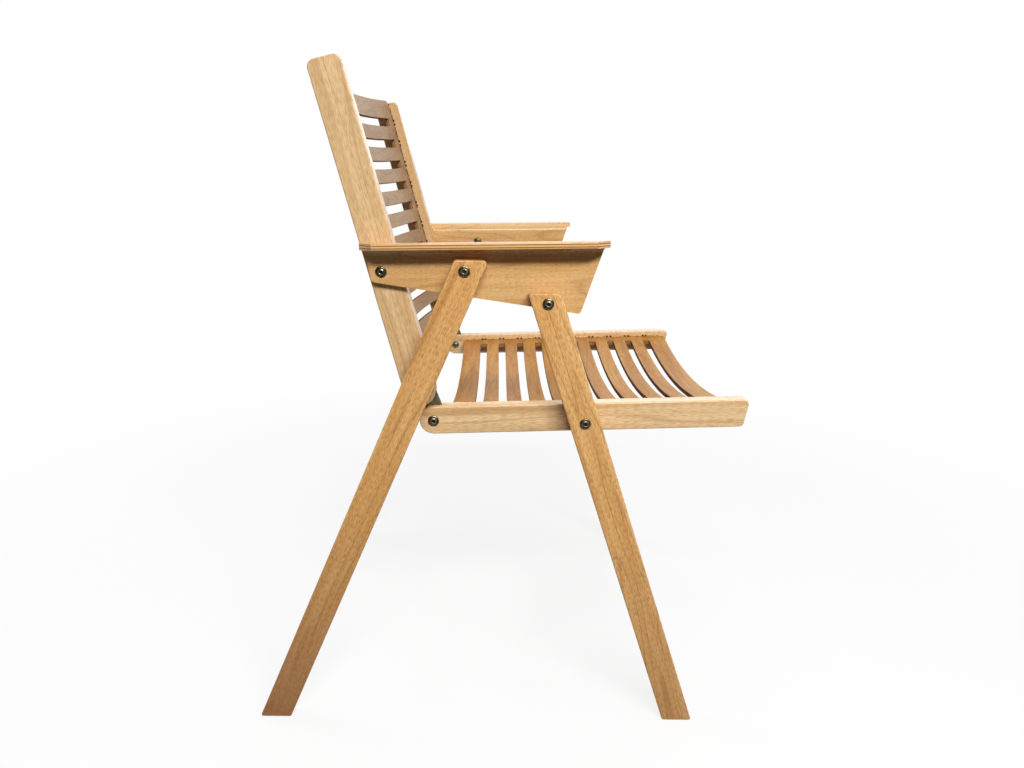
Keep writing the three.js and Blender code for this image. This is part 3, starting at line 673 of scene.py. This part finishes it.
LOOKS = {
    "front_legs": leg_beech("front leg beech", QUARTER + FRONT_LEG_LEAN, FRONT_FOOT_SHADE),
    "rear_legs": leg_beech("rear leg beech", QUARTER - REAR_LEG_LEAN, REAR_FOOT_SHADE),
    "arms": arm_plywood(),
    "brass": metal("dark brass", BRASS_TONES),
    "patina_and_shade": metal("dark patina", PATINA_AND_SHADE_TONES, PATINA_AND_SHADE_ROUGHNESS),
    "steel": metal("olive steel", STEEL_TONES, STEEL_ADDED_ROUGHNESS),
    "stretcher": stretcher_beech(),
    "back": frame_beech(
        "post beech",
        QUARTER + BACK_LEAN,
        POST_TONES,
        back_origin,
        back_turn,
        BACK_SLOTS,
        POST_DASH,
    ),
    "seat": frame_beech(
        "rail beech", SEAT_SLOPE, RAIL_TONES, seat_origin, seat_turn, SEAT_SLOTS, RAIL_DASH
    ),
    "seat_panel": panel_plywood(
        "seat plywood", seat_origin, seat_turn, SEAT_SAGITTA, SEAT_SLOTS, SEAT_TONES
    ),
    "back_panel": panel_plywood(
        "back plywood", back_origin, back_turn, BACK_SAGITTA, BACK_SLOTS, BACK_TONES
    ),
}


# Pieces


def make_active(piece):
    bpy.ops.object.select_all(action="DESELECT")
    piece.select_set(True)
    bpy.context.view_layer.objects.active = piece


def merge_triangles(piece):
    """Joins the loose triangles of a CAD mesh, and then those that lie in one plane."""
    if piece.data.has_custom_normals:
        bpy.ops.mesh.customdata_custom_splitnormals_clear()
    bpy.ops.object.mode_set(mode="EDIT")
    bpy.ops.mesh.select_all(action="SELECT")
    bpy.ops.mesh.remove_doubles(threshold=MERGE_DISTANCE)
    bpy.ops.mesh.dissolve_limited(angle_limit=FLAT_ANGLE)
    bpy.ops.object.mode_set(mode="OBJECT")


def ease_edges(piece, width):
    eased = piece.modifiers.new("eased edges", "BEVEL")
    eased.width = width
    eased.segments = 2
    eased.limit_method = "ANGLE"
    eased.angle_limit = BEVEL_ANGLE
    bpy.ops.object.modifier_apply(modifier=eased.name)


def smooth_around_flat_faces(piece):
    bpy.ops.object.shade_smooth_by_angle(angle=COPY_SMOOTH_ANGLE)
    weighted = piece.modifiers.new("flat faces", "WEIGHTED_NORMAL")
    weighted.keep_sharp = True
    weighted.weight = 100
    bpy.ops.object.modifier_apply(modifier=weighted.name)


def dress(piece, node, look):
    """Gives a piece its material and its body, and hides the solid that it stands for."""
    piece.data.materials.clear()
    piece.data.materials.append(look)
    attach(piece, body_of[node])
    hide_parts(node)


def finished_copy(node, look, bevel=0.0):
    """A solid's copy with its triangles merged and, where a bevel is given, its edges eased."""
    piece = bpy.data.objects.new("finished_" + node, nodes[node].data.copy())
    bpy.context.scene.collection.objects.link(piece)
    make_active(piece)
    merge_triangles(piece)
    if bevel:
        ease_edges(piece, bevel)
    smooth_around_flat_faces(piece)
    dress(piece, node, look)


def turned_piece(node, look, centre, side, stations):
    """A turned piece across the chair: stations are (radius, distance from the chair's middle)."""
    bpy.ops.object.select_all(action="DESELECT")
    radius, height = stations[0]
    bpy.ops.mesh.primitive_circle_add(
        vertices=TURNED_SIDES, radius=radius, fill_type="NGON", location=(0, 0, height)
    )
    piece = bpy.context.active_object
    piece.name = "finished_" + node
    bpy.ops.object.transform_apply(location=True)
    bpy.ops.object.mode_set(mode="EDIT")
    bpy.ops.mesh.select_all(action="SELECT")
    for next_radius, next_height in stations[1:]:
        step = (0, 0, next_height - height)
        bpy.ops.mesh.extrude_region_move(TRANSFORM_OT_translate={"value": step})
        share = next_radius / radius
        bpy.ops.transform.resize(value=(share, share, 1), center_override=(0, 0, next_height))
        radius, height = next_radius, next_height
    bpy.ops.mesh.select_all(action="SELECT")
    bpy.ops.mesh.normals_make_consistent(inside=False)
    bpy.ops.object.mode_set(mode="OBJECT")
    piece.rotation_euler = (side * -QUARTER, 0, 0)
    piece.location = (centre.x, 0, centre.z)
    make_active(piece)
    bpy.ops.object.transform_apply(location=True, rotation=True, scale=True)
    bpy.ops.object.shade_smooth_by_angle(angle=TURNED_SMOOTH_ANGLE)
    dress(piece, node, look)
    return piece


def has_patina_and_shade(out, height):
    """Whether a bolt is painted dark, for painted shade, painted reflection and tarnish, at a share of its head's
    radius and a height above the underside.
    """
    in_groove = DARK_GROOVE[0] < out < DARK_GROOVE[1]
    return height < DARK_SIDE_BELOW or out > DARK_RIM_OUTSIDE or in_groove or out < DARK_SOCKET


def pivot_bolt(node, centre, side, under_head, end):
    """A bolt with a domed head, which has a rim, a groove and a socket."""
    stations = [
        (BOLT_RADIUS, end),
        (BOLT_RADIUS, under_head),
        (HEAD_RADIUS - HEAD_EDGE, under_head),
    ]
    stations += [(HEAD_RADIUS * out, under_head + height) for out, height in HEAD_PROFILE]
    bolt = turned_piece(node, LOOKS["brass"], centre, side, stations)
    # The second material paints the head's side, rim, groove and socket dark: painted shade and painted dark
    # reflection, with tarnish in the hollows
    bolt.data.materials.append(LOOKS["patina_and_shade"])
    for face in bolt.data.polygons:
        out = math.hypot(face.center.x - centre.x, face.center.z - centre.z) / HEAD_RADIUS
        if has_patina_and_shade(out, abs(face.center.y) - under_head):
            face.material_index = 1


for hand, side in (("_right", -1), ("_left", 1)):
    finished_copy("front_leg" + hand, LOOKS["front_legs"])
    finished_copy("rear_leg" + hand, LOOKS["rear_legs"])
    finished_copy("back_post" + hand, LOOKS["back"])
    finished_copy("seat_rail" + hand, LOOKS["seat"])
    finished_copy("armrest" + hand, LOOKS["arms"])
    finished_copy("hinge_plate" + hand, LOOKS["steel"], PLATE_BEVEL)
    finished_copy("hinge_pin" + hand, LOOKS["brass"])
    finished_copy("plate_cap_nut" + hand, LOOKS["brass"])
    finished_copy("seat_pivot_spacer" + hand, LOOKS["steel"])
    for leg in ("front_leg", "rear_leg"):
        finished_copy(leg + "_sleeve_nut" + hand, LOOKS["brass"])
        finished_copy(leg + "_washer" + hand, LOOKS["steel"])
    seat_axis = axis_of("seat_pivot_bolt" + hand)
    for bolt, axis, under_head, end in (
        ("arm_bolt", pivots["arm_fold"], ARM_BOLT_HEAD, ARM_BOLT_END),
        ("rear_leg_bolt", pivots["rear_leg_fold"], LEG_BOLT_HEAD, LEG_BOLT_END),
        ("front_leg_bolt", pivots["front_leg_fold"], LEG_BOLT_HEAD, LEG_BOLT_END),
        ("seat_pivot_bolt", seat_axis, LEG_BOLT_HEAD, SEAT_BOLT_END),
        ("plate_bolt", plate_axis, PLATE_BOLT_HEAD, PLATE_BOLT_END),
    ):
        pivot_bolt(bolt + hand, axis, side, under_head, end)

finished_copy("seat_panel", LOOKS["seat_panel"], PANEL_BEVEL)
finished_copy("back_panel", LOOKS["back_panel"], PANEL_BEVEL)
finished_copy("front_stretcher", LOOKS["stretcher"])
finished_copy("rear_stretcher", LOOKS["stretcher"])


# Floor and light


def seen(tree, mirrored):
    """1 where the camera looks, the value mirrored in reflections, and 0 for all other light."""
    rays = tree.nodes.new("ShaderNodeLightPath").outputs
    reflected = times(tree, rays["Is Glossy Ray"], mirrored)
    return maths(tree, "MAXIMUM", rays["Is Camera Ray"], reflected)


def floor_material():
    """Pale floor that keeps its shadow near the chair and runs out to white far off."""
    material, tree = new_material("pale floor")
    place = coordinates(tree)
    distance = put(tree, "ShaderNodeVectorMath", {0: place}, operation="LENGTH").outputs["Value"]
    far = band(tree, distance, *FLOOR_FAR, FLOOR_WHITE, 1.0)
    whole = seen(tree, band(tree, split(tree, place)[1], *FLOOR_NEAR, NEAR_WHITE, 1.0))
    color = blend(tree, whole, FLOOR_LIT, FLOOR_SEEN)
    diffuse = put(tree, "ShaderNodeBsdfDiffuse", {"Color": color}).outputs[0]
    white = put(tree, "ShaderNodeEmission", {"Color": WHITE, "Strength": 1.0}).outputs[0]
    mix = put(tree, "ShaderNodeMixShader", {0: times(tree, far, whole), 1: diffuse, 2: white})
    put(tree, "ShaderNodeOutputMaterial", {"Surface": mix.outputs[0]})
    return material


def make_floor():
    bpy.ops.object.select_all(action="DESELECT")
    bpy.ops.mesh.primitive_circle_add(
        vertices=FLOOR_SIDES, radius=FLOOR_RADIUS, fill_type="NGON", location=(0, 0, 0)
    )
    floor = bpy.context.active_object
    floor.name = "floor"
    floor.data.materials.append(floor_material())


def light_world():
    """White to the eye, and in reflections brightest at right, with little light of its own."""
    world = bpy.data.worlds.new("studio")
    bpy.context.scene.world = world
    world.use_nodes = True
    tree = world.node_tree
    tree.nodes.clear()
    direction = split(tree, coordinates(tree, "Generated"))
    depth = band(tree, direction[1], *WORLD_NEAR, NEAR_WHITE, 1.0)
    right = band(tree, direction[0], *WORLD_RIGHT, 1.0, RIGHT_WHITE)
    share = times(tree, seen(tree, times(tree, depth, right)), 1 - WORLD_FILL)
    inputs = {"Color": WHITE, "Strength": plus(tree, share, WORLD_FILL)}
    background = put(tree, "ShaderNodeBackground", inputs)
    put(tree, "ShaderNodeOutputWorld", {"Surface": background.outputs[0]})


def area_light(name, place, target, size, power):
    lamp = bpy.data.lights.new(name, "AREA")
    lamp.shape = "RECTANGLE"
    lamp.size, lamp.size_y = size
    lamp.energy = power
    light = bpy.data.objects.new(name, lamp)
    light.location = place
    towards = Vector(target) - Vector(place)
    light.rotation_euler = towards.to_track_quat("-Z", "Y").to_euler()
    bpy.context.scene.collection.objects.link(light)


make_floor()
light_world()
for lamp in LAMPS:
    area_light(*lamp)

scene = bpy.context.scene
scene.view_settings.view_transform = "Standard"
